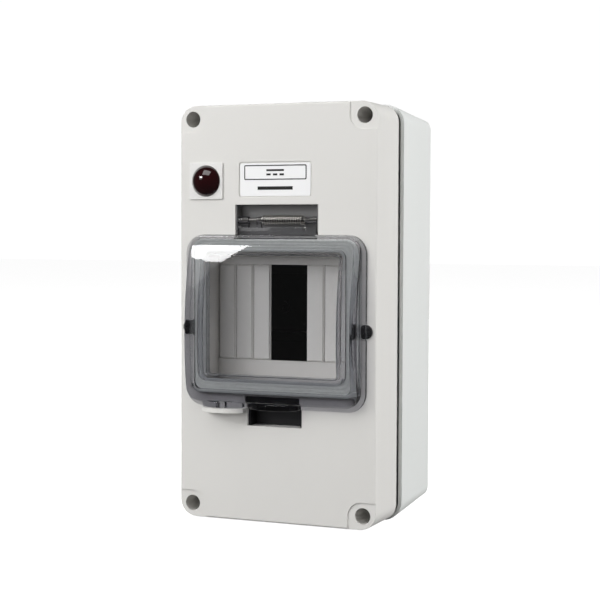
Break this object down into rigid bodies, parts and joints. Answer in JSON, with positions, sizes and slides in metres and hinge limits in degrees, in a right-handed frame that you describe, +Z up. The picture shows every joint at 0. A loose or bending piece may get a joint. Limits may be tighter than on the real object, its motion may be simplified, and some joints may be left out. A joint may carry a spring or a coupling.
{
  "type": "dc combiner box",
  "caption": "Surface-mounted sealed breaker box: screwed cover, sprung clear lid over blanked breaker ways, indicator lamp, locking lug and rail inside.",
  "frame": {"origin": "centre of the back face, which lies on the wall", "axes": "+X to the right seen from the front, +Y back into the wall, +Z up; the front faces -Y"},
  "size_m": [0.104, 0.0945, 0.2031],
  "materials": {
    "base_grey": "fine satin moulded plastic",
    "cover_grey": "fine satin moulded plastic",
    "strip_grey": "fine satin moulded plastic",
    "bezel_grey": "smooth moulded plastic",
    "clear_lid": "polished clear polycarbonate with a slight smoke tint",
    "gasket_grey": "ribbed soft rubber",
    "black_rubber": "soft black rubber",
    "dark_plastic": "moulded plastic",
    "black_plastic": "moulded plastic",
    "black_steel": "black passivated steel",
    "steel": "bright steel",
    "brass": "turned brass",
    "green_plastic": "moulded plastic",
    "cream_plastic": "moulded plastic",
    "red_lens": "dark red translucent plastic",
    "red_wire": "wire insulation",
    "label_white": "printed film",
    "print_black": "ink"
  },
  "bodies": {
    "enclosure": {"bar_feet": "green_plastic", "bar_screws": "steel", "base_box": "base_grey", "base_seal": "black_rubber", "blanking_strip_1": "strip_grey", "blanking_strip_2": "strip_grey", "blanking_strip_3": "strip_grey", "blanking_strip_4": "strip_grey", "blanking_strip_5": "strip_grey", "blanking_strip_6": "strip_grey", "chassis": "black_plastic", "chassis_screws": "steel", "conduit_plug": "base_grey", "conduit_plug_seal": "black_rubber", "cover_screws": "steel", "din_rail": "black_steel", "earth_bar": "brass", "front_cover": "cover_grey", "hinge_block": "dark_plastic", "hinge_pin": "steel", "hinge_spring": "steel", "label_marks": "print_black", "label_plate": "label_white", "lamp_bezel": "bezel_grey", "lamp_body": "black_plastic", "lamp_leads": "red_wire", "lamp_lens": "red_lens", "lamp_nut": "black_plastic", "lamp_seal": "black_rubber", "latch_keeper": "black_plastic", "neutral_bar": "brass", "rail_screws": "black_steel", "screw_inserts": "brass", "screw_washers": "black_rubber", "side_plugs": "black_rubber", "terminal_block": "cream_plastic", "terminal_screws": "steel"},
    "lid": {"lid": "clear_lid", "lid_gasket": "gasket_grey"}
  },
  "joints": [
    {"name": "lid_hinge", "type": "hinge", "parent": "enclosure", "child": "lid", "pos_m": [0, -0.0818, 0.0444], "axis": [-1, 0, 0], "range_deg": [0, 105], "stiffness_Nm_per_rad": 0.01, "springref_deg": -28.65, "deforming": ["hinge_spring"]}
  ]
}
